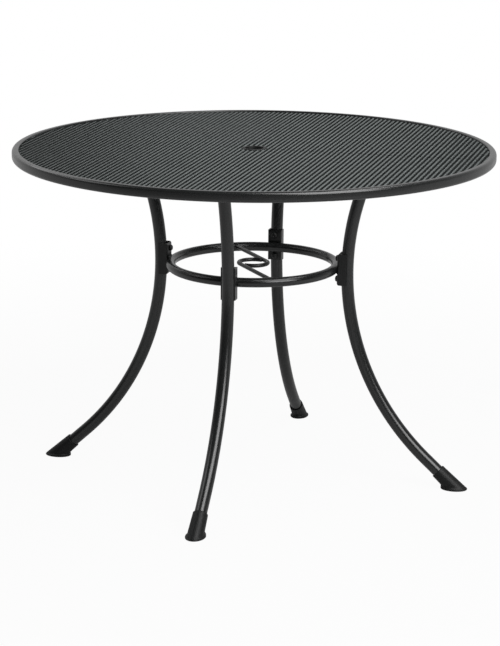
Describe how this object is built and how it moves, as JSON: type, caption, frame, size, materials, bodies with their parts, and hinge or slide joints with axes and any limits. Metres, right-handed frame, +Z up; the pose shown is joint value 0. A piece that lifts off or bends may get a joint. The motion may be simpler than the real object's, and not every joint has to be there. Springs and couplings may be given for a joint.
{
  "type": "round garden table",
  "caption": "Round metal garden table with an expanded-mesh top in a rolled rim, bowed tube legs joined by a ring, and a parasol hole with a wire pole holder.",
  "frame": {"origin": "on the floor under the middle of the top", "axes": "+Z up; one leg on each of +X, +Y, -X and -Y"},
  "size_m": [1.0499, 1.05, 0.74],
  "materials": {
    "iron_grey_coat": "satin iron-grey powder coat",
    "black_plastic": "matt black",
    "zinc_steel": "dark zinc plating"
  },
  "bodies": {
    "root": {"top_rim": "iron_grey_coat", "mesh_panel": "iron_grey_coat", "parasol_collar": "black_plastic", "centre_hub": "iron_grey_coat", "leg_plate_bolts": "zinc_steel", "bar_weld_nuts": "zinc_steel", "ring_stretcher": "iron_grey_coat", "saddle_bolts": "zinc_steel", "saddle_washers": "zinc_steel", "leg_inserts": "zinc_steel", "holder_rod_back": "iron_grey_coat", "holder_rod_front": "iron_grey_coat", "support_bar_right": "iron_grey_coat", "leg_plate_right": "iron_grey_coat", "leg_right": "iron_grey_coat", "saddle_right": "iron_grey_coat", "foot_boot_right": "black_plastic", "support_bar_back": "iron_grey_coat", "leg_plate_back": "iron_grey_coat", "leg_back": "iron_grey_coat", "saddle_back": "iron_grey_coat", "foot_boot_back": "black_plastic", "support_bar_left": "iron_grey_coat", "leg_plate_left": "iron_grey_coat", "leg_left": "iron_grey_coat", "saddle_left": "iron_grey_coat", "foot_boot_left": "black_plastic", "support_bar_front": "iron_grey_coat", "leg_plate_front": "iron_grey_coat", "leg_front": "iron_grey_coat", "saddle_front": "iron_grey_coat", "foot_boot_front": "black_plastic"}
  },
  "joints": []
}
